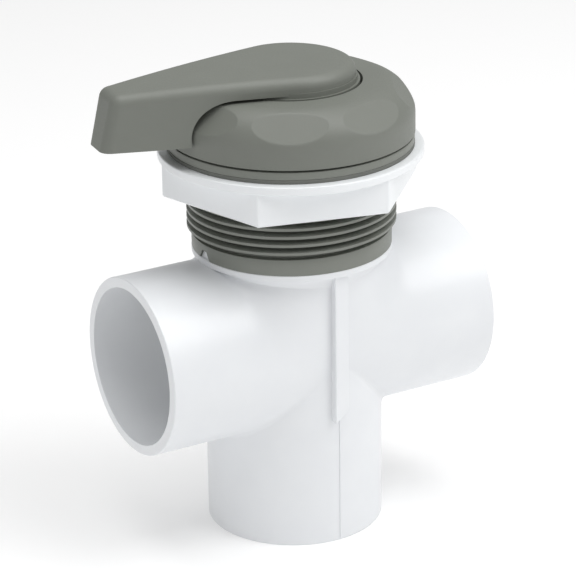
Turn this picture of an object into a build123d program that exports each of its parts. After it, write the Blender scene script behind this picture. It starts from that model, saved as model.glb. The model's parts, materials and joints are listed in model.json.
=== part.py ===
from build123d import *

import math
import os

# A three-way diverter valve for 2 inch plastic pipe, in millimetres.
# The origin is the centre of the bottom socket's mouth, +Z runs up the stem, and the two
# side sockets lie along X. The lever points to the port that the gate shuts.

os.makedirs("parts", exist_ok=True)

# Ports of the tee.
PIPE_R = 30.25
SOCKET_DEPTH = 38.1
PORT_R = 34.2
PORT_REACH = 70.2
AXIS_Z = 76.2
FLOW_R = 24.0
MOUTH_ROUND = 0.5

# Chamber that the gate turns in, and the neck above it.
CHAMBER_R = 29.5
FLOOR_Z = 43.0
NECK_R = 33.5
NECK_TOP = 150.0
NECK_O_RING_Z = NECK_TOP - 8.0
NECK_RING_R = 38.1
NECK_RING_Z = AXIS_Z + 33.8
NECK_RING_TOP = AXIS_Z + 36.3
NECK_ROUND = 0.4
FLARE_LOW_Z = AXIS_Z + 26.0
FLARE_LOW_R = 33.9
FLARE_TOP_R = 36.6
BEND_R = 36.0
LEG_R = 34.0
LEG_BLEND = 2.5

# Ribs and mould line on the front and the back of the body.
RIB_WIDTH = 6.6
RIB_FACE_Y = 37.0
RIB_FACE_LEAN = 1.5
RIB_LOW_Z = 50.7
RIB_SLANT = 3.4
SEAM_WIDTH = 0.3
SEAM_PROUD = 0.12

# Tabs of the body that lock the collar's notches.
TAB_WIDTH = 7.8
TAB_HEIGHT = 3.0
TAB_R = 36.9
NOTCH_WIDTH = 8.4
NOTCH_HEIGHT = 3.3
NOTCH_LEAN = 2.0

# Threads, drawn as closed ridges of the true pitch and depth.
PITCH = 3.175
RIDGE_ROOT = 2.3
RIDGE_CREST = 0.9

# Wall collar.
COLLAR_BORE_R = 33.7
SKIRT_R = 38.0
SKIRT_TOP = AXIS_Z + 42.6
COLLAR_ROOT_R = 37.4
COLLAR_CREST_R = 39.7
FIRST_CREST_Z = AXIS_Z + 45.85
RIDGE_COUNT = 10
FLANGE_R = 46.5
FLANGE_Z = AXIS_Z + 77.3
FLANGE_TOP = AXIS_Z + 80.0
RIM_BORE_R = 31.0
RIM_ROOT_R = 40.6
RIM_CREST_R = 41.9
RIM_TOP = 165.0
RIM_RIDGES = 2
SHOULDER_GAP = 0.1

# Locknut and gasket.
NUT_CORNER_R = 49.9
NUT_CORNER_DEG = 45.4
NUT_BOTTOM = AXIS_Z + 59.2
NUT_HEX_TOP = AXIS_Z + 71.9
NUT_FLANGE_R = 50.15
NUT_TOP = AXIS_Z + 75.2
NUT_BORE_R = 40.1
NUT_ROOT_R = 41.4
NUT_ROUND = 0.6
GASKET_R = 46.8
GASKET_BORE_R = 40.2
SEAT_GAP = 0.05

# Screw cap.
CAP_R = 46.75
CAP_BOTTOM = AXIS_Z + 80.5
SHOULDER_R = 12.7
SHOULDER_Z = AXIS_Z + 87.3
CAP_BORE_R = 42.3
CAP_ROOT_R = 43.6
CAP_CEILING = 168.0
CAP_CROWN = 0.3
RECESS_R = 27.2
RECESS_FLOOR = 172.5
PLATE_UNDER = 170.0
CAP_HOLE_R = 16.0
DIMPLES = 8
DIMPLE_DEG = 239.6
DIMPLE_DEPTH = 1.7
DIMPLE_RISE_DEG = 42.0
DIMPLE_ROUND = 1.5

# Bonnet, its bushing, rings and washer.
BONNET_R = 30.8
BONNET_LIP_R = 39.5
BONNET_LIP_TOP = 167.2
BONNET_LOW = 154.0
BONNET_WEB_Z = 162.0
BONNET_SKIRT_R = 27.0
BONNET_GROOVE_R = 28.6
BONNET_GROOVE_Z = 158.4
HUB_SLEEVE_R = 15.5
SLEEVE_LOW = 152.0
SLEEVE_TOP = 172.0
BUSHING_R = 11.2
BUSHING_BORE_R = 9.56
BUSHING_TOP = 160.0
SEAL_BORE_R = 9.6
KEY_WIDTH = 5.0
KEY_DEPTH = 2.0
SLIP_RING_BORE_R = 31.5
WASHER_R = 13.5
WASHER_BORE_R = 9.7

# Rotor: foot, gate, top disc and stem.
GATE_R = 28.9
GATE_INNER_R = 25.6
FOOT_LOW = 44.3
FOOT_TOP = 49.5
DISC_LOW = 104.0
DISC_TOP = 108.0
GATE_HALF_DEG = 68.0
STEM_R = 9.5
STEM_SHOULDER_R = 13.0
STEM_SHOULDER_LOW = 146.0
STEM_SHOULDER_TOP = 150.4
STEM_SEAL_ROOT_R = 7.4
STEM_SEAL_Z = (163.2, 168.0)
FIN_THICK = 3.0
FIN_R = 24.0
FIN_TOP = 132.0
DRIVE_R = 9.0
DRIVE_FLAT = 7.5
DRIVE_TOP = 180.4
CLIP_Z = 176.0
CLIP_WIRE_R = 0.55
CLIP_R = 8.85
CLIP_GAP_DEG = 50.0

# Gate seal, set in a groove round the gate's face.
SEAL_R = 29.3
SEAL_ROOT_R = 27.9
SEAL_LOW = 46.8
SEAL_TOP = 105.6
SEAL_WIDTH = 2.4
SEAL_GROOVE_GAP = 0.1

# Stop rail on the chamber floor, and the rotor's lug that meets its ends.
RAIL_OUTER_R = 25.4
RAIL_HEIGHT = 4.0
RAIL_END_DEG = 11.0
LUG_HALF_DEG = 10.0
LUG_INNER_R = 24.2
LUG_TOP = 49.0
WEAR_RING_BORE_R = 25.8
WEAR_RING_R = 29.2
WEAR_RING_TOP = 44.2

# Round rubber rings.
CORD_R = 1.1
STEM_CORD_R = 1.0
GROOVE_CORD_GAP = 0.3

# Handle: hub, lever and the shell's wall.
LEVER_DEG = 173.0
HUB_R = 25.2
HUB_RING_R = 26.2
HUB_RING_TOP = AXIS_Z + 100.5
HANDLE_LOW = 172.8
HANDLE_TOP = AXIS_Z + 107.8
LEVER_HALF_TAPER = 13.3
LEVER_LOW = AXIS_Z + 84.5
LEVER_REACH = 77.4
LEVER_END_DRAFT = 13.0
LEVER_CROWN_R = 1040.0
LEVER_CLEARANCE = 1.25
LEVER_UNDER_Z = AXIS_Z + 101.4
HANDLE_DRAFT = 1.5
HANDLE_WALL = 3.0
HANDLE_ROUND = 4.0
TIP_ROUND = 4.5
BOSS_R = 13.0
RIB_THICK = 2.0
CROSS_RIBS_X = (52.0, 64.0)


def cylinder(radius, low, high):
    return Pos(0, 0, low) * Cylinder(radius, high - low, align=(Align.CENTER, Align.CENTER, Align.MIN))


def ring(outer, inner, low, high):
    return cylinder(outer, low, high) - cylinder(inner, low - 1, high + 1)


def turned(points):
    """Solid of revolution about Z from a closed (radius, z) outline."""
    edge = Polyline(*[(r, 0, z) for r, z in points], close=True)
    return revolve(make_face(edge), Axis.Z)


def arc_block(outer, inner, low, high, centre_deg, half_deg):
    """Part of a ring that spans half_deg to each side of centre_deg."""
    section = Polyline((inner, 0, low), (outer, 0, low), (outer, 0, high), (inner, 0, high), close=True)
    block = revolve(make_face(section), Axis.Z, revolution_arc=2 * half_deg)
    return Rot(0, 0, centre_deg - half_deg) * block


def cord_ring(centre_r, z, wire_r):
    return Pos(0, 0, z) * Torus(centre_r, wire_r)


def ridges_up(root_r, crest_r, first_z, count):
    """Outline points of thread ridges, from the lowest to the highest."""
    points = []
    for index in range(count):
        z = first_z + index * PITCH
        points.append((root_r, z - RIDGE_ROOT / 2))
        points.append((crest_r, z - RIDGE_CREST / 2))
        points.append((crest_r, z + RIDGE_CREST / 2))
        points.append((root_r, z + RIDGE_ROOT / 2))
    return points


def at_both_sides(shape):
    return [shape, Rot(0, 0, 180) * shape]


def make_body_rib():
    """Upright rib whose face leans a little to the left and whose foot is cut on the slant."""
    half = RIB_WIDTH / 2
    inner_y = RIB_FACE_Y - 7
    foot = [(-half, 0, RIB_LOW_Z), (half, 0, RIB_LOW_Z + RIB_SLANT)]
    head = [(half, 0, NECK_RING_Z), (-half, 0, NECK_RING_Z)]
    front_view = extrude(make_face(Polyline(*foot, *head, close=True)), amount=2 * RIB_FACE_Y, dir=(0, -1, 0))
    face = [(-half, -RIB_FACE_Y, 0), (half, RIB_FACE_LEAN - RIB_FACE_Y, 0)]
    root = [(half, -inner_y, 0), (-half, -inner_y, 0)]
    top_view = extrude(make_face(Polyline(*face, *root, close=True)), amount=NECK_TOP, dir=(0, 0, 1))
    rib = front_view & top_view
    front = rib.faces().sort_by(Axis.Y)[0]
    return fillet(front.edges(), 0.4)


def make_body_seam():
    low = MOUTH_ROUND + 0.3
    height = RIB_LOW_Z - low + 1
    place = Pos(0, -PORT_R - SEAM_PROUD, low)
    return place * Box(SEAM_WIDTH, 1.0, height, align=(Align.CENTER, Align.MIN, Align.MIN))


def leaning_block(inner_x, outer_x, width, low, height):
    """Block that points along +X, with two sides that lean in towards its top."""
    half = width / 2
    top_half = half - NOTCH_LEAN * height / NOTCH_HEIGHT
    top = low + height
    foot = [(inner_x, -half, low), (inner_x, half, low)]
    head = [(inner_x, top_half, top), (inner_x, -top_half, top)]
    face = make_face(Polyline(*foot, *head, close=True))
    return extrude(face, amount=outer_x - inner_x, dir=(1, 0, 0))


def make_lock_tab():
    return leaning_block(NECK_R - 0.4, TAB_R, TAB_WIDTH, NECK_RING_TOP - 0.1, TAB_HEIGHT + 0.1)


def make_stop_rail():
    """Raised arc on the +Y side of the chamber floor; the rotor's lug stops at each end."""
    half = 90 - RAIL_END_DEG
    return arc_block(RAIL_OUTER_R, FLOW_R, FLOOR_Z - 0.5, FLOOR_Z + RAIL_HEIGHT, 90, half)


def meeting_edges(shape):
    """The freeform edges where two round tubes meet."""
    plain = (GeomType.CIRCLE, GeomType.LINE)
    return shape.edges().filter_by(lambda edge: edge.geom_type not in plain)


def bend_cutter(side):
    """Spool whose waist leaves a pipe bend's inside curve between the neck and one side tube."""
    waist = ThreePointArc((BEND_R, 0, -PORT_R), (BEND_R - PORT_R, 0, 0), (BEND_R, 0, PORT_R))
    end = PORT_R + 1
    corners = [(BEND_R, PORT_R), (BEND_R, end), (0, end), (0, -end), (BEND_R, -end), (BEND_R, -PORT_R)]
    rest = Polyline(*[(r, 0, z) for r, z in corners])
    spool = revolve(make_face([waist, rest]), Axis.Z)
    return Pos(side * BEND_R, 0, AXIS_Z + BEND_R) * Rot(90, 0, 0) * spool


def make_neck_bends():
    """Block between the side tubes and the neck, hollowed so that they flow into each other."""
    standing = (Align.CENTER, Align.CENTER, Align.MIN)
    block = Pos(0, 0, AXIS_Z) * Box(2 * BEND_R, 2 * PORT_R, BEND_R, align=standing)
    return block - bend_cutter(1) - bend_cutter(-1)


def make_neck_flare():
    """Round shoulder that widens in one hollow curve up to the neck ring."""
    width = FLARE_TOP_R - FLARE_LOW_R
    height = NECK_RING_Z - FLARE_LOW_Z
    curve_r = (width ** 2 + height ** 2) / (2 * width)
    half_turn = math.asin(height / curve_r) / 2
    middle_r = FLARE_LOW_R + curve_r * (1 - math.cos(half_turn))
    middle_z = FLARE_LOW_Z + curve_r * math.sin(half_turn)
    top = NECK_RING_TOP - NECK_ROUND
    low_end = (FLARE_LOW_R, 0, FLARE_LOW_Z)
    high_end = (FLARE_TOP_R, 0, NECK_RING_Z)
    curve = ThreePointArc(low_end, (middle_r, 0, middle_z), high_end)
    rest = Polyline(high_end, (FLARE_TOP_R, 0, top), (0, 0, top), (0, 0, FLARE_LOW_Z), low_end)
    return revolve(make_face([curve, rest]), Axis.Z)


def make_tee_outside():
    run = Pos(0, 0, AXIS_Z) * Rot(0, 90, 0) * Cylinder(PORT_R, 2 * PORT_REACH)
    run = fillet(run.edges(), MOUTH_ROUND)
    leg = cylinder(LEG_R, 0, AXIS_Z)
    leg = fillet(leg.edges().group_by(Axis.Z)[0], MOUTH_ROUND)
    lower = run + leg
    lower = fillet(meeting_edges(lower), LEG_BLEND)
    return run + make_neck_bends() + make_neck_flare() + lower


def make_valve_body():
    neck_ring = cylinder(NECK_RING_R, NECK_RING_Z, NECK_RING_TOP)
    neck_ring = fillet(neck_ring.edges(), NECK_ROUND)
    outside = make_tee_outside() + neck_ring + cylinder(NECK_R, NECK_RING_Z, NECK_TOP)
    for piece in (make_body_rib(), make_body_seam(), make_lock_tab()):
        for copy in at_both_sides(piece):
            outside += copy
    socket = Pos(PORT_REACH, 0, AXIS_Z) * Rot(0, -90, 0) * cylinder(PIPE_R, 0, SOCKET_DEPTH)
    for copy in at_both_sides(socket):
        outside -= copy
    outside -= Pos(0, 0, AXIS_Z) * Rot(0, 90, 0) * Cylinder(FLOW_R, 2 * PORT_REACH)
    outside -= cylinder(PIPE_R, -1, SOCKET_DEPTH)
    outside -= cylinder(FLOW_R, -1, FLOOR_Z + 1)
    outside -= cylinder(CHAMBER_R, FLOOR_Z, NECK_TOP + 1)
    groove_half = CORD_R + GROOVE_CORD_GAP
    groove_root = NECK_R - 2 * CORD_R + 0.1
    outside -= ring(NECK_R + 1, groove_root, NECK_O_RING_Z - groove_half, NECK_O_RING_Z + groove_half)
    return outside + make_stop_rail()


def make_wall_collar():
    outline = [(COLLAR_BORE_R, NECK_RING_TOP), (SKIRT_R, NECK_RING_TOP), (SKIRT_R, SKIRT_TOP)]
    outline += [(COLLAR_ROOT_R, SKIRT_TOP)]
    outline += ridges_up(COLLAR_ROOT_R, COLLAR_CREST_R, FIRST_CREST_Z, RIDGE_COUNT)
    outline += [(COLLAR_ROOT_R, FLANGE_Z), (FLANGE_R, FLANGE_Z), (FLANGE_R, FLANGE_TOP)]
    outline += [(RIM_ROOT_R, FLANGE_TOP)]
    outline += ridges_up(RIM_ROOT_R, RIM_CREST_R, FLANGE_TOP + 2.6, RIM_RIDGES)
    outline += [(RIM_ROOT_R, RIM_TOP), (RIM_BORE_R, RIM_TOP)]
    outline += [(RIM_BORE_R, NECK_TOP + SHOULDER_GAP), (COLLAR_BORE_R, NECK_TOP + SHOULDER_GAP)]
    collar = turned(outline)
    circles = collar.edges().filter_by(GeomType.CIRCLE)
    collar = fillet(circles.filter_by(lambda edge: abs(edge.radius - FLANGE_R) < 0.01), NECK_ROUND)
    notch = leaning_block(COLLAR_BORE_R - 1, SKIRT_R + 1, NOTCH_WIDTH, NECK_RING_TOP, NOTCH_HEIGHT)
    slot_place = Pos(RIM_BORE_R - 1, 0, RIM_TOP - KEY_DEPTH)
    slot_width = KEY_WIDTH + 0.4
    key_slot = slot_place * Box(5.0, slot_width, KEY_DEPTH + 1, align=(Align.MIN, Align.CENTER, Align.MIN))
    for cut in at_both_sides(notch) + at_both_sides(key_slot):
        collar -= cut
    return collar


def make_locknut():
    hexagon = Rot(0, 0, NUT_CORNER_DEG) * RegularPolygon(NUT_CORNER_R, 6)
    block = extrude(Pos(0, 0, NUT_BOTTOM) * hexagon, NUT_HEX_TOP - NUT_BOTTOM)
    block = fillet(block.edges().filter_by(Axis.Z), 1.2)
    block = chamfer(block.edges().group_by(Axis.Z)[0], NUT_ROUND)
    washer_face = cylinder(NUT_FLANGE_R, NUT_HEX_TOP, NUT_TOP)
    washer_face = fillet(washer_face.edges(), NUT_ROUND)
    nut = block + washer_face
    bore = [(0, NUT_BOTTOM - 1), (NUT_BORE_R, NUT_BOTTOM - 1)]
    bore += ridges_up(NUT_BORE_R, NUT_ROOT_R, NUT_BOTTOM + PITCH, 4)
    bore += [(NUT_BORE_R, NUT_TOP + 1), (0, NUT_TOP + 1)]
    return nut - turned(bore)


def make_shell_gasket():
    return ring(GASKET_R, GASKET_BORE_R, NUT_TOP + SEAT_GAP, FLANGE_Z - SEAT_GAP)


def dimple_cutter():
    """Flat-sided block that takes one shallow finger dimple off the cap's shoulder."""
    rise = math.radians(DIMPLE_RISE_DEG)
    reach = SHOULDER_R - DIMPLE_DEPTH
    centre_r = CAP_R - SHOULDER_R + reach * math.cos(rise)
    centre_z = SHOULDER_Z + reach * math.sin(rise)
    face = Plane(
        origin=(centre_r, 0, centre_z), x_dir=(0, 1, 0), z_dir=(math.cos(rise), 0, math.sin(rise))
    )
    return face * Box(50, 40, 10, align=(Align.CENTER, Align.CENTER, Align.MIN))


def make_screw_cap():
    arc_r = CAP_R - SHOULDER_R
    shoulder_top = SHOULDER_Z + SHOULDER_R
    diagonal = SHOULDER_R * math.sqrt(0.5)
    wall = Line((CAP_R, 0, CAP_BOTTOM), (CAP_R, 0, SHOULDER_Z))
    shoulder = ThreePointArc(
        (CAP_R, 0, SHOULDER_Z), (arc_r + diagonal, 0, SHOULDER_Z + diagonal), (arc_r, 0, shoulder_top)
    )
    inside = [(arc_r, shoulder_top), (RECESS_R, shoulder_top + CAP_CROWN), (RECESS_R, RECESS_FLOOR)]
    inside += [(CAP_HOLE_R, RECESS_FLOOR), (CAP_HOLE_R, PLATE_UNDER), (SLIP_RING_BORE_R, PLATE_UNDER)]
    inside += [(SLIP_RING_BORE_R, CAP_CEILING), (CAP_BORE_R, CAP_CEILING)]
    inside += ridges_up(CAP_BORE_R, CAP_ROOT_R, CAP_BOTTOM + 2.6, 3)[::-1]
    inside += [(CAP_BORE_R, CAP_BOTTOM), (CAP_R, CAP_BOTTOM)]
    rest = Polyline(*[(r, 0, z) for r, z in inside])
    cap = revolve(make_face([wall, shoulder, rest]), Axis.Z)
    cutter = dimple_cutter()
    for index in range(DIMPLES):
        cap -= Rot(0, 0, DIMPLE_DEG + index * 360 / DIMPLES) * cutter
    rise_z = math.sin(math.radians(DIMPLE_RISE_DEG))
    flat_faces = cap.faces().filter_by(GeomType.PLANE)
    dimples = flat_faces.filter_by(lambda face: abs(face.normal_at().Z - rise_z) < 0.01)
    return fillet(dimples.edges(), DIMPLE_ROUND)


def make_bonnet():
    groove_half = CORD_R + GROOVE_CORD_GAP
    outline = [(BUSHING_R, SLEEVE_LOW), (HUB_SLEEVE_R, SLEEVE_LOW), (HUB_SLEEVE_R, BONNET_WEB_Z)]
    outline += [(BONNET_SKIRT_R, BONNET_WEB_Z), (BONNET_SKIRT_R, BONNET_LOW), (BONNET_R, BONNET_LOW)]
    outline += [(BONNET_R, BONNET_GROOVE_Z - groove_half), (BONNET_GROOVE_R, BONNET_GROOVE_Z - groove_half)]
    outline += [(BONNET_GROOVE_R, BONNET_GROOVE_Z + groove_half), (BONNET_R, BONNET_GROOVE_Z + groove_half)]
    outline += [(BONNET_R, RIM_TOP + SEAT_GAP), (BONNET_LIP_R, RIM_TOP + SEAT_GAP)]
    outline += [(BONNET_LIP_R, BONNET_LIP_TOP), (HUB_SLEEVE_R, BONNET_LIP_TOP), (HUB_SLEEVE_R, SLEEVE_TOP)]
    outline += [(SEAL_BORE_R, SLEEVE_TOP), (SEAL_BORE_R, BUSHING_TOP), (BUSHING_R, BUSHING_TOP)]
    bonnet = turned(outline)
    key_place = Pos(BONNET_R - 0.5, 0, RIM_TOP - KEY_DEPTH + 0.3)
    key = key_place * Box(3.5, KEY_WIDTH, KEY_DEPTH, align=(Align.MIN, Align.CENTER, Align.MIN))
    for copy in at_both_sides(key):
        bonnet += copy
    return bonnet


def gate_frame(outer, inner, spread):
    """Curved rectangular frame that follows the gate's edge, spread wider than the seal."""
    middle_deg = math.degrees(SEAL_WIDTH / 2 / GATE_R)
    edge_deg = GATE_HALF_DEG - 2 * middle_deg
    spread_deg = math.degrees(spread / GATE_R)
    outside = arc_block(outer, inner, SEAL_LOW - spread, SEAL_TOP + spread, 180, edge_deg + spread_deg)
    hole_low = SEAL_LOW + SEAL_WIDTH + spread
    hole_top = SEAL_TOP - SEAL_WIDTH - spread
    hole_deg = edge_deg - 2 * middle_deg - spread_deg
    return outside - arc_block(outer + 1, inner - 1, hole_low, hole_top, 180, hole_deg)


def turned_to_lever(shape):
    """Turns a piece that is drawn with its gate at 180 degrees to where the lever points."""
    return Rot(0, 0, LEVER_DEG - 180) * shape


def make_stem():
    groove_half = STEM_CORD_R + GROOVE_CORD_GAP
    stem = cylinder(STEM_R, DISC_TOP - 1, SLEEVE_TOP)
    stem += cylinder(STEM_SHOULDER_R, STEM_SHOULDER_LOW, STEM_SHOULDER_TOP)
    drive = cylinder(DRIVE_R, SLEEVE_TOP - 1, DRIVE_TOP)
    drive &= Pos(0, 0, DRIVE_TOP) * Box(4 * DRIVE_R, 2 * DRIVE_FLAT, 40)
    clip_half = CLIP_WIRE_R + 0.1
    drive -= ring(DRIVE_R + 1, CLIP_R - CLIP_WIRE_R - 0.05, CLIP_Z - clip_half, CLIP_Z + clip_half)
    stem += drive
    for z in STEM_SEAL_Z:
        stem -= ring(STEM_R + 1, STEM_SEAL_ROOT_R, z - groove_half, z + groove_half)
    return stem


def make_stem_fins():
    low = DISC_TOP - 0.5
    corners = [(0, 0, low), (FIN_R, 0, low), (FIN_R, 0, low + 3), (STEM_R, 0, FIN_TOP), (0, 0, FIN_TOP)]
    fin = extrude(make_face(Polyline(*corners, close=True)), amount=FIN_THICK / 2, both=True)
    fins = fin
    for index in (1, 2, 3):
        fins += Rot(0, 0, 90 * index) * fin
    return fins


def make_rotor():
    rotor = ring(GATE_R, GATE_INNER_R, FOOT_LOW, FOOT_TOP)
    rotor += cylinder(GATE_R, DISC_LOW, DISC_TOP)
    rotor += arc_block(GATE_R, GATE_INNER_R, FOOT_LOW, DISC_TOP, 180, GATE_HALF_DEG)
    rotor += arc_block(GATE_INNER_R + 0.5, LUG_INNER_R, FOOT_LOW + 0.2, LUG_TOP, 0, LUG_HALF_DEG)
    rotor += make_stem_fins()
    rotor += make_stem()
    rotor -= gate_frame(GATE_R + 1, SEAL_ROOT_R - SEAL_GROOVE_GAP, SEAL_GROOVE_GAP)
    return turned_to_lever(rotor)


def make_handle_clip():
    whole = cord_ring(CLIP_R, CLIP_Z, CLIP_WIRE_R)
    gap = arc_block(CLIP_R + 2, CLIP_R - 2, CLIP_Z - 2, CLIP_Z + 2, 0, CLIP_GAP_DEG / 2)
    return turned_to_lever(whole - gap)


def lever_outline(inset):
    """Hub circle with the two straight sides of the lever tangent to it, pointing along +X."""
    taper = math.radians(LEVER_HALF_TAPER)
    radius = HUB_R - inset
    far_x = LEVER_REACH + 5
    far_y = radius / math.cos(taper) - far_x * math.tan(taper)
    side_x = radius * math.sin(taper)
    side_y = radius * math.cos(taper)
    blade = Polyline((side_x, side_y), (far_x, far_y), (far_x, -far_y), (side_x, -side_y), close=True)
    return Circle(radius) + make_face(blade)


def lever_side(inset):
    """Side view of the handle: level below, crowned on top, with a drafted end."""
    low = LEVER_LOW
    top = HANDLE_TOP - inset
    low_x = LEVER_REACH - inset
    end_slope = math.tan(math.radians(LEVER_END_DRAFT))
    end_x = low_x - (top - low) * end_slope
    end_z = top - end_x ** 2 / (2 * LEVER_CROWN_R)
    end_x = low_x - (end_z - low) * end_slope
    back_x = -end_x
    crown = ThreePointArc((end_x, 0, end_z), (0, 0, top), (back_x, 0, end_z))
    rest = Polyline((back_x, 0, end_z), (back_x, 0, low), (low_x, 0, low), (end_x, 0, end_z))
    return extrude(make_face([crown, rest]), amount=2 * HUB_R, both=True)


def handle_form(inset):
    height = HANDLE_TOP - LEVER_LOW + 5
    plan = extrude(Pos(0, 0, LEVER_LOW) * lever_outline(inset), height, taper=HANDLE_DRAFT)
    return plan & lever_side(inset)


def rounded_handle_form():
    form = handle_form(0)
    tip_x = LEVER_REACH - 12
    upright = form.edges().filter_by(lambda edge: abs(edge.tangent_at(0.5).Z) > 0.8)
    tip_edges = upright.filter_by(lambda edge: edge.center().X > tip_x)
    form = fillet(tip_edges, TIP_ROUND)
    crown_face = form.faces().sort_by(Axis.Z)[-1]
    return fillet(crown_face.edges(), HANDLE_ROUND)


def under_cutter():
    """Everything below the lever's underside, which follows the cap at a small clearance."""
    arc_r = CAP_R - SHOULDER_R
    arc_size = SHOULDER_R + LEVER_CLEARANCE
    diagonal = arc_size * math.sqrt(0.5)
    low = LEVER_LOW - 5
    shoulder = ThreePointArc(
        (arc_r + arc_size, 0, SHOULDER_Z),
        (arc_r + diagonal, 0, SHOULDER_Z + diagonal),
        (arc_r, 0, SHOULDER_Z + arc_size),
    )
    rest = Polyline(
        (arc_r, 0, SHOULDER_Z + arc_size),
        (HUB_R - 3, 0, LEVER_UNDER_Z + 0.2),
        (0, 0, LEVER_UNDER_Z + 0.2),
        (0, 0, low),
        (arc_r + arc_size, 0, low),
        (arc_r + arc_size, 0, SHOULDER_Z),
    )
    return revolve(make_face([shoulder, rest]), Axis.Z)


def make_handle_ribs(cavity):
    """Ribs inside the lever, trimmed to the cavity and clear of the cap."""
    length = LEVER_REACH
    height = HANDLE_TOP - LEVER_LOW
    ribs = Pos(0, 0, LEVER_LOW) * Box(length, RIB_THICK, height, align=(Align.MIN, Align.CENTER, Align.MIN))
    standing = (Align.CENTER, Align.CENTER, Align.MIN)
    for x in CROSS_RIBS_X:
        ribs += Pos(x, 0, LEVER_LOW) * Box(RIB_THICK, 2 * HUB_R, height, align=standing)
    low_trim = Box(4 * HUB_R, 2 * HUB_R, 4.0, align=(Align.MIN, Align.CENTER, Align.MIN))
    return (ribs & cavity) - Pos(0, 0, LEVER_LOW) * low_trim


def make_handle_boss():
    boss = cylinder(BOSS_R, HANDLE_LOW, HANDLE_TOP - HANDLE_WALL / 2)
    bore = cylinder(DRIVE_R + 0.1, HANDLE_LOW - 1, DRIVE_TOP + 0.2)
    bore &= Pos(0, 0, DRIVE_TOP) * Box(4 * DRIVE_R, 2 * DRIVE_FLAT + 0.2, 40)
    clip_seat = cylinder(CLIP_R + CLIP_WIRE_R + 0.1, CLIP_Z - CLIP_WIRE_R - 0.1, CLIP_Z + CLIP_WIRE_R + 0.1)
    return boss, bore + clip_seat


def make_handle():
    cutter = under_cutter()
    shell = rounded_handle_form() - cutter
    shell += cylinder(HUB_R, HANDLE_LOW, LEVER_UNDER_Z + 1)
    shell += cylinder(HUB_RING_R, HANDLE_LOW, HUB_RING_TOP)
    cavity = handle_form(HANDLE_WALL)
    hub_cavity = cylinder(HUB_R - HANDLE_WALL, HANDLE_LOW - 1, LEVER_UNDER_Z + 2)
    ribs = make_handle_ribs(cavity - cutter)
    boss, bore = make_handle_boss()
    shell -= cavity
    shell -= hub_cavity
    handle = shell + ribs + boss - bore
    return Rot(0, 0, LEVER_DEG) * handle


nodes = {
    "valve_body": make_valve_body,
    "wall_collar": make_wall_collar,
    "neck_o_ring": lambda: cord_ring(COLLAR_BORE_R - 0.05 - CORD_R, NECK_O_RING_Z, CORD_R),
    "rotor_wear_ring": lambda: ring(WEAR_RING_R, WEAR_RING_BORE_R, FLOOR_Z, WEAR_RING_TOP),
    "locknut": make_locknut,
    "shell_gasket": make_shell_gasket,
    "screw_cap": make_screw_cap,
    "bonnet": make_bonnet,
    "bonnet_o_ring": lambda: cord_ring(RIM_BORE_R - 0.15 - CORD_R, BONNET_GROOVE_Z, CORD_R),
    "cap_slip_ring": lambda: ring(
        BONNET_LIP_R, SLIP_RING_BORE_R, BONNET_LIP_TOP + SEAT_GAP, CAP_CEILING - SEAT_GAP
    ),
    "stem_bushing": lambda: ring(BUSHING_R, BUSHING_BORE_R, SLEEVE_LOW, BUSHING_TOP),
    "thrust_washer": lambda: ring(
        WASHER_R, WASHER_BORE_R, STEM_SHOULDER_TOP + SEAT_GAP, SLEEVE_LOW - SEAT_GAP
    ),
    "rotor": make_rotor,
    "gate_seal": lambda: turned_to_lever(gate_frame(SEAL_R, SEAL_ROOT_R, 0)),
    "stem_o_ring_lower": lambda: cord_ring(STEM_R - 0.05 - STEM_CORD_R, STEM_SEAL_Z[0], STEM_CORD_R),
    "stem_o_ring_upper": lambda: cord_ring(STEM_R - 0.05 - STEM_CORD_R, STEM_SEAL_Z[1], STEM_CORD_R),
    "handle_clip": make_handle_clip,
    "handle": make_handle,
}

for name, make in nodes.items():
    export_step(make(), f"parts/{name}.step")
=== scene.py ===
import json
import math

import bpy
from mathutils import Euler, Matrix, Vector


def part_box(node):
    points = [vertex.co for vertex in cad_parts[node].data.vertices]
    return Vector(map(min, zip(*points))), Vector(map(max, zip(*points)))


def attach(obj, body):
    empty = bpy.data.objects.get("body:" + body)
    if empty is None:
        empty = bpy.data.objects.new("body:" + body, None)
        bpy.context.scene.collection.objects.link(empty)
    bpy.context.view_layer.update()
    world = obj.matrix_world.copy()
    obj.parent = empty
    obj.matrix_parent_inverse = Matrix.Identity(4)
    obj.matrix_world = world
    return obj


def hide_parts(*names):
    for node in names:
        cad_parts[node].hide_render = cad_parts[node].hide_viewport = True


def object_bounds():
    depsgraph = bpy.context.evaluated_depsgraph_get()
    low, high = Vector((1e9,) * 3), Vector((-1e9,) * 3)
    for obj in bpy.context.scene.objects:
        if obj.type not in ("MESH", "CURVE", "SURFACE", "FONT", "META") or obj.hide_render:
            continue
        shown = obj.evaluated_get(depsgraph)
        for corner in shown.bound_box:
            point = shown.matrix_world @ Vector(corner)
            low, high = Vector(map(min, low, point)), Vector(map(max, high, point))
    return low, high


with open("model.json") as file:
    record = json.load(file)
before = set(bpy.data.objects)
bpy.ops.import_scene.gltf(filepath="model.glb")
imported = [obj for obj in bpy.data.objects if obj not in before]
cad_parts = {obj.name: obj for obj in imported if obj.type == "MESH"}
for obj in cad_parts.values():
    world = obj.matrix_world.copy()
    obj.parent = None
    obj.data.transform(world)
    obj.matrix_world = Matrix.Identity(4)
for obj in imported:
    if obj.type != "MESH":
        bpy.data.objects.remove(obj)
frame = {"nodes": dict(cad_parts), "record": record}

CAD_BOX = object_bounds()
MM = 0.001

# Height of the side ports' axis and of the floor, from the frame, in metres.
MOUNTS = {mount["name"]: mount for mount in frame["record"]["mounts"]}
AXIS_Z = MOUNTS["left_socket"]["pos_m"][2]
AXIS_MM = AXIS_Z / MM
FLOOR_Z = CAD_BOX[0][2]

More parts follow.
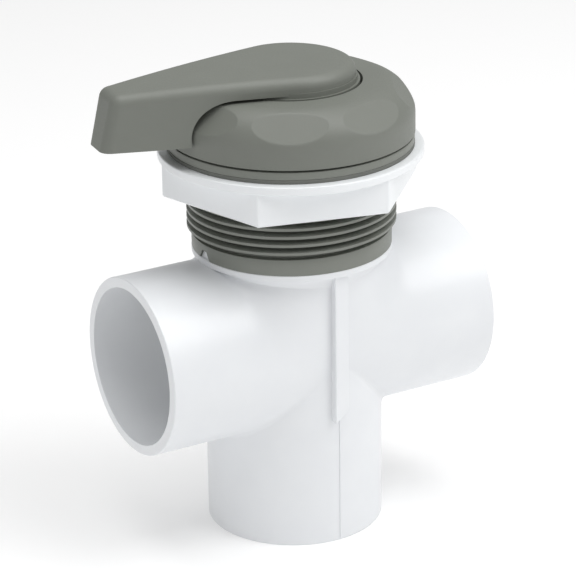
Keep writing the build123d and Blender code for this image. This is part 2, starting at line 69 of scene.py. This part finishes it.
# Camera: a long lens, a little above the valve, to the left of its front.
VIEW_AZIMUTH = math.radians(-30.37)
VIEW_ELEVATION = math.radians(21.85)
VIEW_ROLL = math.radians(-0.77)
VIEW_DISTANCE = 1.1132
VIEW_AIM = Vector((1.45 * MM, 5.77 * MM, AXIS_Z + 14.26 * MM))
LENS_MM = 181.1
CLIP_END = 20

# Studio: even light all round, three soft boxes, and a floor that glows a little.
WORLD_STRENGTH = 0.38
FLOOR_GLOW = 0.27
FLOOR_SIZE = 6.0
KEY_WATTS = 11.0
TOP_WATTS = 11.0
FILL_WATTS = 2.2

# Finish of every moulded piece.
COLOUR_FLOW_MM = 14.0
SMOOTH_DEG = 32
WELD = 1e-6

# From here on, sizes are in millimetres. Turned pieces and helices.
LATHE_STEPS = 256
STEPS_PER_TURN = 144
ARC_MIDDLE = 0.3

# Wall collar: the plain skirt, with a band round its top that rises with the thread.
COLLAR_BORE_R = 33.7
SKIRT_R = 38.0
SKIRT_TOP_Z = AXIS_MM + 42.0
SKIRT_INSET = 0.02
SKIRT_FOOT_EDGE = 0.15
SKIRT_EDGE_DROP = 2.9
BAND_HEIGHT = 3.7
BAND_SUNK = 1
BAND_EDGE_DROP = 0.25
BAND_EDGE_IN = 0.1

# The long thread is a true right-handed helix, eight turns to the inch.
PITCH = 3.175
THREAD_ROOT_R = 35.8
THREAD_CREST_R = 39.7
THREAD_START_DEG = 100.0
THREAD_START_Z = AXIS_MM + 44.29
THREAD_TURNS = 9.3

# Section of a thread's ridge, and the length over which its ends fade out.
THREAD_FOOT_HALF = 0.95
THREAD_CREST_HALF = 0.5
THREAD_BEVEL_IN = 0.25
THREAD_BEVEL_UP = 0.12
THREAD_FOOT_SUNK = 0.4
THREAD_FADE = 8.0
END_TOLERANCE = 1e-5

# Flange, and the rim above it with the short thread for the cap.
FLANGE_R = 46.5
FLANGE_LOW_Z = AXIS_MM + 76.7
FLANGE_TOP_Z = AXIS_MM + 79.65
FLANGE_EDGE_R = 0.35
FLANGE_LOW_EDGE_R = 0.15
RIM_BORE_R = 31.0
RIM_DEPTH = 14.9
RIM_ROOT_R = 40.6
RIM_CREST_R = 41.9
RIM_EDGE = 0.4
RIM_THREAD_RISE = 1.9
RIM_TURNS = 1.6

# Notches in the skirt for the body's tabs, and key slots in the rim.
NOTCH_WIDTH = 8.4
NOTCH_HEIGHT = 3.3
NOTCH_LEAN = 2.0
KEY_SLOT_WIDTH = 5.4
KEY_SLOT_DEPTH = 2.0
KEY_SLOT_REACH = 4
CUTTER_MARGIN = 1

# Rubber ring that the locknut clamps under the flange; as a darker grey band it also paints the shade under
# the flange's edge.
GASKET_R = 46.6
GASKET_BORE_R = 40.2
GASKET_EDGE_R = 0.15
GASKET_CLEARANCE = 0.03


def linear(hex_colour):
    """An sRGB hex colour as the linear RGBA that the nodes take."""
    channels = []
    for start in (1, 3, 5):
        value = int(hex_colour[start:start + 2], 16) / 255
        channels.append(value / 12.92 if value <= 0.04045 else ((value + 0.055) / 1.055) ** 2.4)
    return (*channels, 1.0)


def add(tree, kind, settings=None, links=None):
    """Adds a node, sets its properties or sockets, and links its sockets from other nodes' outputs."""
    node = tree.nodes.new(kind)
    for name, value in (settings or {}).items():
        if isinstance(name, str) and hasattr(node, name):
            setattr(node, name, value)
        else:
            node.inputs[name].default_value = value
    for name, (source, output) in (links or {}).items():
        tree.links.new(source.outputs[output], node.inputs[name])
    return node


def new_material(name):
    material = bpy.data.materials.new(name)
    material.use_nodes = True
    material.node_tree.nodes.clear()
    return material, material.node_tree


def moulded_plastic(name, light, dark, grain_mm, grain_depth_mm, roughness, spread, ior):
    """Moulded plastic or rubber: slow colour flow, the tool's grain, and uneven gloss."""
    material, tree = new_material(name)
    place = add(tree, "ShaderNodeTexCoord")
    flow = add(
        tree, "ShaderNodeTexNoise",
        {"Scale": 1 / (COLOUR_FLOW_MM * MM), "Detail": 3.0, "Roughness": 0.55}, {"Vector": (place, "Object")},
    )
    tint = add(
        tree, "ShaderNodeMix", {"data_type": "RGBA", 6: linear(dark), 7: linear(light)}, {0: (flow, "Fac")},
    )
    grain = add(
        tree, "ShaderNodeTexNoise",
        {"Scale": 1 / (grain_mm * MM), "Detail": 2.0, "Roughness": 0.6}, {"Vector": (place, "Object")},
    )
    gloss = add(
        tree, "ShaderNodeMapRange",
        {"From Min": 0.3, "From Max": 0.7, "To Min": roughness - spread, "To Max": roughness + spread},
        {"Value": (grain, "Fac")},
    )
    bump = add(
        tree, "ShaderNodeBump",
        {"Strength": 1.0, "Distance": grain_depth_mm * MM}, {"Height": (grain, "Fac")},
    )
    shader = add(
        tree, "ShaderNodeBsdfPrincipled", {"IOR": ior},
        {"Base Color": (tint, 2), "Roughness": (gloss, "Result"), "Normal": (bump, "Normal")},
    )
    add(tree, "ShaderNodeOutputMaterial", {}, {"Surface": (shader, "BSDF")})
    return material


def drawn_wire(name):
    """Spring steel wire: bright, with faint drawing marks that make its gloss uneven."""
    material, tree = new_material(name)
    place = add(tree, "ShaderNodeTexCoord")
    marks = add(
        tree, "ShaderNodeTexNoise", {"Scale": 1 / (0.3 * MM), "Detail": 2.0}, {"Vector": (place, "Object")},
    )
    gloss = add(tree, "ShaderNodeMapRange", {"To Min": 0.22, "To Max": 0.34}, {"Value": (marks, "Fac")})
    shader = add(
        tree, "ShaderNodeBsdfPrincipled", {"Base Color": linear("#B9BABC"), "Metallic": 1.0},
        {"Roughness": (gloss, "Result")},
    )
    add(tree, "ShaderNodeOutputMaterial", {}, {"Surface": (shader, "BSDF")})
    return material


# The real grains are finer than a tenth of a millimetre, too fine to show, so they are drawn coarser.

# Injection-moulded PVC for pipe fittings: a cool white with a soft, slightly waxy gloss.
pvc_body = moulded_plastic(
    "white_pvc_fitting", "#ECEEF0", "#E6E8EB",
    grain_mm=0.9, grain_depth_mm=0.010, roughness=0.34, spread=0.04, ior=1.53,
)
# The same PVC in the locknut, a little brighter.
pvc_nut = moulded_plastic(
    "white_pvc_locknut", "#F3F5F7", "#EDF0F2",
    grain_mm=0.9, grain_depth_mm=0.010, roughness=0.32, spread=0.04, ior=1.53,
)
# ABS from a spark-eroded tool: warm mid grey and satin, with an even fine grain.
abs_cap = moulded_plastic(
    "grey_abs_sparked_cap", "#777A73", "#71746D",
    grain_mm=0.45, grain_depth_mm=0.030, roughness=0.50, spread=0.07, ior=1.54,
)
abs_handle = moulded_plastic(
    "grey_abs_sparked_handle", "#777A73", "#71746D",
    grain_mm=0.45, grain_depth_mm=0.030, roughness=0.50, spread=0.07, ior=1.54,
)
# ABS from smoother tools: a shinier grey for the threads, and a darker one for the inner lid.
abs_collar = moulded_plastic(
    "grey_abs_threaded", "#7E817A", "#787B74",
    grain_mm=0.8, grain_depth_mm=0.012, roughness=0.42, spread=0.05, ior=1.54,
)
abs_bonnet = moulded_plastic(
    "grey_abs_inner", "#6E716B", "#696C66",
    grain_mm=0.8, grain_depth_mm=0.012, roughness=0.45, spread=0.05, ior=1.54,
)
# Moulded EPDM sheet rubber: a dull dark grey with a fine talc bloom; this grey band also paints the shade
# under the flange's edge.
epdm_gasket_and_painted_shade = moulded_plastic(
    "epdm_gasket_and_painted_shade", "#747671", "#6C6E69",
    grain_mm=0.35, grain_depth_mm=0.020, roughness=0.78, spread=0.06, ior=1.52,
)
# Nitrile rubber, for the cords and the gate's seal: nearly black, with a low sheen.
nitrile = moulded_plastic(
    "nitrile_rubber", "#1E1E1F", "#171718",
    grain_mm=0.35, grain_depth_mm=0.015, roughness=0.55, spread=0.06, ior=1.52,
)
# Turned acetal: a creamy white, smooth and waxy.
acetal = moulded_plastic(
    "turned_acetal", "#EFEDE4", "#E9E6DC",
    grain_mm=0.6, grain_depth_mm=0.006, roughness=0.30, spread=0.04, ior=1.48,
)
# Moulded glass-filled plastic of the rotor: a satin off-white.
rotor_plastic = moulded_plastic(
    "rotor_plastic", "#E2E1DC", "#DAD9D3",
    grain_mm=0.5, grain_depth_mm=0.015, roughness=0.42, spread=0.05, ior=1.50,
)
spring_wire = drawn_wire("drawn_spring_wire")

node_materials = {
    "valve_body": pvc_body,
    "wall_collar": abs_collar,
    "neck_o_ring": nitrile,
    "rotor_wear_ring": acetal,
    "locknut": pvc_nut,
    "shell_gasket": epdm_gasket_and_painted_shade,
    "screw_cap": abs_cap,
    "bonnet": abs_bonnet,
    "bonnet_o_ring": nitrile,
    "cap_slip_ring": acetal,
    "stem_bushing": acetal,
    # The gasket's darker grey also paints the shade under the flange's edge.
    "thrust_washer": acetal,
    "rotor": rotor_plastic,
    "gate_seal": nitrile,
    "stem_o_ring_lower": nitrile,
    "stem_o_ring_upper": nitrile,
    "handle_clip": spring_wire,
    "handle": abs_handle,
}
for name, material in node_materials.items():
    mesh = frame["nodes"][name].data
    mesh.materials.clear()
    mesh.materials.append(material)


def edit_new_point(name, x, z):
    """A new object in edit mode whose mesh is one selected vertex in the XZ plane."""
    bpy.ops.object.select_all(action="DESELECT")
    bpy.ops.mesh.primitive_plane_add(size=MM)
    bpy.context.object.name = name
    bpy.ops.object.mode_set(mode="EDIT")
    bpy.ops.mesh.select_all(action="SELECT")
    bpy.ops.mesh.merge(type="CENTER")
    bpy.ops.transform.translate(value=(x * MM, 0, z * MM))
    return bpy.context.object


def draw_outline(name, points):
    """A closed outline of (radius, z) points in millimetres, drawn by extruding one vertex."""
    piece = edit_new_point(name, *points[0])
    for (old_x, old_z), (new_x, new_z) in zip(points, points[1:]):
        step = ((new_x - old_x) * MM, 0, (new_z - old_z) * MM)
        bpy.ops.mesh.extrude_vertices_move(TRANSFORM_OT_translate={"value": step})
    bpy.ops.mesh.select_all(action="SELECT")
    bpy.ops.mesh.edge_face_add()
    bpy.ops.mesh.delete(type="ONLY_FACE")
    bpy.ops.object.mode_set(mode="OBJECT")
    return piece


def apply_screw(piece, turns, rise, steps):
    """Sweeps the outline about Z; a whole turn with no rise is a lathe."""
    screw = piece.modifiers.new("screw", "SCREW")
    screw.angle = 2 * math.pi * turns
    screw.screw_offset = rise * MM
    screw.steps = steps
    screw.render_steps = steps
    screw.use_merge_vertices = True
    screw.merge_threshold = WELD
    bpy.ops.object.modifier_apply(modifier=screw.name)


def face_outwards():
    """Closes the seams of the active piece and turns its faces outwards."""
    bpy.ops.object.mode_set(mode="EDIT")
    bpy.ops.mesh.select_all(action="SELECT")
    bpy.ops.mesh.remove_doubles(threshold=WELD)
    bpy.ops.mesh.normals_make_consistent(inside=False)
    bpy.ops.object.mode_set(mode="OBJECT")


def turn_piece(name, outline):
    """A closed outline turned once round Z."""
    piece = draw_outline(name, outline)
    apply_screw(piece, 1, 0, LATHE_STEPS)
    face_outwards()
    return piece


def select_where(piece, test):
    """Leaves edit mode on, with only the vertices that pass the test selected."""
    bpy.ops.object.mode_set(mode="EDIT")
    bpy.ops.mesh.select_mode(type="VERT")
    bpy.ops.mesh.select_all(action="DESELECT")
    bpy.ops.object.mode_set(mode="OBJECT")
    for vertex in piece.data.vertices:
        vertex.select = test(vertex)
    bpy.ops.object.mode_set(mode="EDIT")


def sweep_helix(name, outline, start_deg, turns):
    """Sweeps a closed outline along the thread's helix, from an angle in degrees, and closes its ends."""
    piece = draw_outline(name, outline)
    apply_screw(piece, turns, PITCH * turns, round(STEPS_PER_TURN * turns))
    bpy.ops.object.mode_set(mode="EDIT")
    bpy.ops.mesh.select_all(action="SELECT")
    bpy.ops.mesh.fill_holes(sides=0)
    bpy.ops.object.mode_set(mode="OBJECT")
    piece.rotation_euler.z = math.radians(start_deg)
    bpy.ops.object.transform_apply(location=True, rotation=True, scale=True)
    face_outwards()
    return piece


def fade_end(piece, angle_deg, end_z, depth):
    """Draws one end of a ridge into the wall, and the ridge near it less and less."""
    angle = math.radians(angle_deg)
    across = Vector((-math.sin(angle), math.cos(angle), 0))
    outward = Vector((math.cos(angle), math.sin(angle), 0))
    select_where(piece, lambda vertex: abs(vertex.co.dot(across)) < END_TOLERANCE
                 and vertex.co.dot(outward) > 0 and abs(vertex.co.z - end_z * MM) < PITCH / 2 * MM)
    bpy.ops.transform.translate(
        value=outward * -depth * MM, use_proportional_edit=True, use_proportional_connected=True,
        proportional_edit_falloff="SMOOTH", proportional_size=THREAD_FADE * MM,
    )
    bpy.ops.object.mode_set(mode="OBJECT")


def make_thread(name, root_r, crest_r, start_deg, start_z, turns):
    """One helical ridge, bevelled above its crest, with its foot in the wall and its ends faded out."""
    foot_r = root_r - THREAD_FOOT_SUNK
    flank = (THREAD_FOOT_HALF - THREAD_CREST_HALF) / (crest_r - root_r)
    foot_half = THREAD_FOOT_HALF + THREAD_FOOT_SUNK * flank
    outline = [
        (foot_r, start_z - foot_half), (crest_r, start_z - THREAD_CREST_HALF),
        (crest_r, start_z + THREAD_CREST_HALF),
        (crest_r - THREAD_BEVEL_IN, start_z + THREAD_CREST_HALF + THREAD_BEVEL_UP),
        (foot_r, start_z + foot_half),
    ]
    piece = sweep_helix(name, outline, start_deg, turns)
    depth = crest_r - root_r + THREAD_FOOT_SUNK / 2
    fade_end(piece, start_deg, start_z, depth)
    fade_end(piece, start_deg + 360 * turns, start_z + PITCH * turns, depth)
    return piece


def cut_with(piece, cutter):
    """Takes the cutter out of the piece and deletes the cutter."""
    bpy.ops.object.select_all(action="DESELECT")
    bpy.context.view_layer.objects.active = piece
    piece.select_set(True)
    difference = piece.modifiers.new("cut", "BOOLEAN")
    difference.operation = "DIFFERENCE"
    difference.object = cutter
    difference.solver = "EXACT"
    bpy.ops.object.modifier_apply(modifier=difference.name)
    bpy.data.objects.remove(cutter, do_unlink=True)


def make_block(name, low, high, lean=0.0):
    """A block between two corners in millimetres, whose sides may lean in along Y at the top."""
    bpy.ops.object.select_all(action="DESELECT")
    centre = [(a + b) / 2 * MM for a, b in zip(low, high)]
    size = [(b - a) * MM for a, b in zip(low, high)]
    bpy.ops.mesh.primitive_cube_add(size=1.0, location=centre, scale=size)
    block = bpy.context.object
    block.name = name
    bpy.ops.object.transform_apply(location=True, rotation=True, scale=True)
    if lean:
        select_where(block, lambda vertex: vertex.co.z > centre[2])
        width = high[1] - low[1]
        bpy.ops.transform.resize(value=(1, (width - 2 * lean) / width, 1), center_override=centre)
        bpy.ops.object.mode_set(mode="OBJECT")
    return block


def join_pieces(name, pieces):
    bpy.ops.object.select_all(action="DESELECT")
    for piece in pieces:
        piece.select_set(True)
    bpy.context.view_layer.objects.active = pieces[0]
    bpy.ops.object.join()
    bpy.context.object.name = name
    return bpy.context.object


def finish_piece(piece, body, material, node):
    """Smooths the piece, gives it its material, and lets it stand for its CAD node."""
    bpy.ops.object.select_all(action="DESELECT")
    bpy.context.view_layer.objects.active = piece
    piece.select_set(True)
    bpy.ops.object.shade_smooth_by_angle(angle=math.radians(SMOOTH_DEG))
    piece.data.materials.clear()
    piece.data.materials.append(material)
    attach(piece, body)
    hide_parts(node)


def make_collar_wall(low, top):
    """The collar without its threads: skirt, bore, flange and rim, turned in one piece."""
    skirt_r = SKIRT_R - SKIRT_INSET
    edge = FLANGE_EDGE_R
    outline = [(COLLAR_BORE_R, low), (skirt_r - SKIRT_FOOT_EDGE, low), (skirt_r, low + SKIRT_FOOT_EDGE)]
    outline += [(skirt_r, SKIRT_TOP_Z), (THREAD_ROOT_R, SKIRT_TOP_Z), (THREAD_ROOT_R, FLANGE_LOW_Z)]
    outline += [(FLANGE_R - FLANGE_LOW_EDGE_R, FLANGE_LOW_Z), (FLANGE_R, FLANGE_LOW_Z + FLANGE_LOW_EDGE_R)]
    outline += [(FLANGE_R, FLANGE_TOP_Z - edge)]
    outline += [(FLANGE_R - ARC_MIDDLE * edge, FLANGE_TOP_Z - ARC_MIDDLE * edge)]
    outline += [(FLANGE_R - edge, FLANGE_TOP_Z), (RIM_ROOT_R, FLANGE_TOP_Z)]
    outline += [(RIM_ROOT_R, top - RIM_EDGE), (RIM_ROOT_R - RIM_EDGE, top), (RIM_BORE_R, top)]
    outline += [(RIM_BORE_R, top - RIM_DEPTH), (COLLAR_BORE_R, top - RIM_DEPTH)]
    return turn_piece("collar_wall", outline)


def make_skirt_edge():
    """The band round the skirt's top, which rises by one pitch in a turn, just under the thread."""
    band_top = THREAD_START_Z - SKIRT_EDGE_DROP
    band_low = band_top - BAND_HEIGHT
    inner_r = THREAD_ROOT_R - BAND_SUNK
    outline = [(inner_r, band_low), (SKIRT_R, band_low), (SKIRT_R, band_top - BAND_EDGE_DROP)]
    outline += [(SKIRT_R - BAND_EDGE_IN, band_top), (inner_r, band_top)]
    return sweep_helix("skirt_edge", outline, THREAD_START_DEG, 1)


def cut_collar_side(side, wall, skirt_edge, low, top):
    """Cuts the notch for the body's tab and the key slot, on the side of one side port."""
    ends = sorted((side * (COLLAR_BORE_R - CUTTER_MARGIN), side * (SKIRT_R + CUTTER_MARGIN)))
    lean = NOTCH_LEAN * (NOTCH_HEIGHT + CUTTER_MARGIN) / NOTCH_HEIGHT
    for part in (wall, skirt_edge):
        notch = make_block(
            "notch_cutter", (ends[0], -NOTCH_WIDTH / 2, low - CUTTER_MARGIN),
            (ends[1], NOTCH_WIDTH / 2, low + NOTCH_HEIGHT), lean,
        )
        cut_with(part, notch)
    ends = sorted((side * (RIM_BORE_R - CUTTER_MARGIN), side * (RIM_BORE_R + KEY_SLOT_REACH)))
    key_slot = make_block(
        "key_slot_cutter", (ends[0], -KEY_SLOT_WIDTH / 2, top - KEY_SLOT_DEPTH),
        (ends[1], KEY_SLOT_WIDTH / 2, top + CUTTER_MARGIN),
    )
    cut_with(wall, key_slot)


def make_collar():
    """Threaded wall fitting: skirt, helical thread, wide flange and the short rim thread for the cap."""
    low, top = (corner[2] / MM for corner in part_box("wall_collar"))
    wall = make_collar_wall(low, top)
    skirt_edge = make_skirt_edge()
    for side in (-1, 1):
        cut_collar_side(side, wall, skirt_edge, low, top)
    thread = make_thread(
        "collar_thread", THREAD_ROOT_R, THREAD_CREST_R, THREAD_START_DEG, THREAD_START_Z, THREAD_TURNS,
    )
    rim_thread = make_thread(
        "collar_rim_thread", RIM_ROOT_R, RIM_CREST_R, 0, FLANGE_TOP_Z + RIM_THREAD_RISE, RIM_TURNS,
    )
    collar = join_pieces("threaded_collar", [wall, skirt_edge, thread, rim_thread])
    finish_piece(collar, "fixed_body", abs_collar, "wall_collar")


def make_gasket_and_painted_shade():
    """Flat rubber ring with bevelled outer corners, clamped between the locknut and the flange; its darker
    grey also paints the shade under the flange's edge.
    """
    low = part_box("shell_gasket")[0][2] / MM
    top = FLANGE_LOW_Z - GASKET_CLEARANCE
    edge = GASKET_EDGE_R
    outline = [(GASKET_BORE_R, low), (GASKET_R - edge, low), (GASKET_R, low + edge)]
    outline += [(GASKET_R, top - edge), (GASKET_R - edge, top), (GASKET_BORE_R, top)]
    rubber_ring_and_painted_shade = turn_piece("rubber_ring_and_painted_shade", outline)
    finish_piece(rubber_ring_and_painted_shade, "gasket_ring", epdm_gasket_and_painted_shade, "shell_gasket")


make_collar()
make_gasket_and_painted_shade()


def place_facing(holder, azimuth, elevation, distance, roll=0.0):
    """Links the camera or light at a distance from the valve's middle, which it faces."""
    turn = Euler((math.pi / 2 - elevation, 0, azimuth)).to_matrix() @ Matrix.Rotation(roll, 3, "Z")
    holder.matrix_world = Matrix.Translation(VIEW_AIM + turn.col[2] * distance) @ turn.to_4x4()
    bpy.context.scene.collection.objects.link(holder)


def make_camera():
    camera = bpy.data.cameras.new("camera")
    camera.lens = LENS_MM
    camera.clip_end = CLIP_END
    holder = bpy.data.objects.new("camera", camera)
    place_facing(holder, VIEW_AZIMUTH, VIEW_ELEVATION, VIEW_DISTANCE, VIEW_ROLL)
    bpy.context.scene.camera = holder


def make_light(name, azimuth_deg, elevation_deg, distance, size, watts):
    """A square white soft box that faces the middle of the valve."""
    light = bpy.data.lights.new(name, "AREA")
    light.size = size
    light.energy = watts
    holder = bpy.data.objects.new(name, light)
    place_facing(holder, math.radians(azimuth_deg), math.radians(elevation_deg), distance)


def make_floor():
    """Matt white paper under the valve."""
    bpy.ops.object.select_all(action="DESELECT")
    bpy.ops.mesh.primitive_plane_add(size=FLOOR_SIZE, location=(0, 0, FLOOR_Z))
    floor = bpy.context.object
    floor.name = "studio_floor"
    material, tree = new_material("pale_paper")
    shader = add(tree, "ShaderNodeBsdfPrincipled", {
        "Base Color": linear("#E4E4E4"), "Roughness": 0.9,
        "Emission Color": linear("#FFFFFF"), "Emission Strength": FLOOR_GLOW,
    })
    add(tree, "ShaderNodeOutputMaterial", {}, {"Surface": (shader, "BSDF")})
    floor.data.materials.append(material)


def make_studio():
    make_camera()
    make_floor()
    world = bpy.data.worlds.new("studio")
    world.use_nodes = True
    background = world.node_tree.nodes["Background"]
    background.inputs["Color"].default_value = (1, 1, 1, 1)
    background.inputs["Strength"].default_value = WORLD_STRENGTH
    bpy.context.scene.world = world
    bpy.context.scene.view_settings.view_transform = "Standard"
    make_light("key", azimuth_deg=38, elevation_deg=48, distance=1.6, size=1.0, watts=KEY_WATTS)
    make_light("top", azimuth_deg=0, elevation_deg=88, distance=1.4, size=1.2, watts=TOP_WATTS)
    make_light("fill", azimuth_deg=-80, elevation_deg=20, distance=1.8, size=1.2, watts=FILL_WATTS)


make_studio()
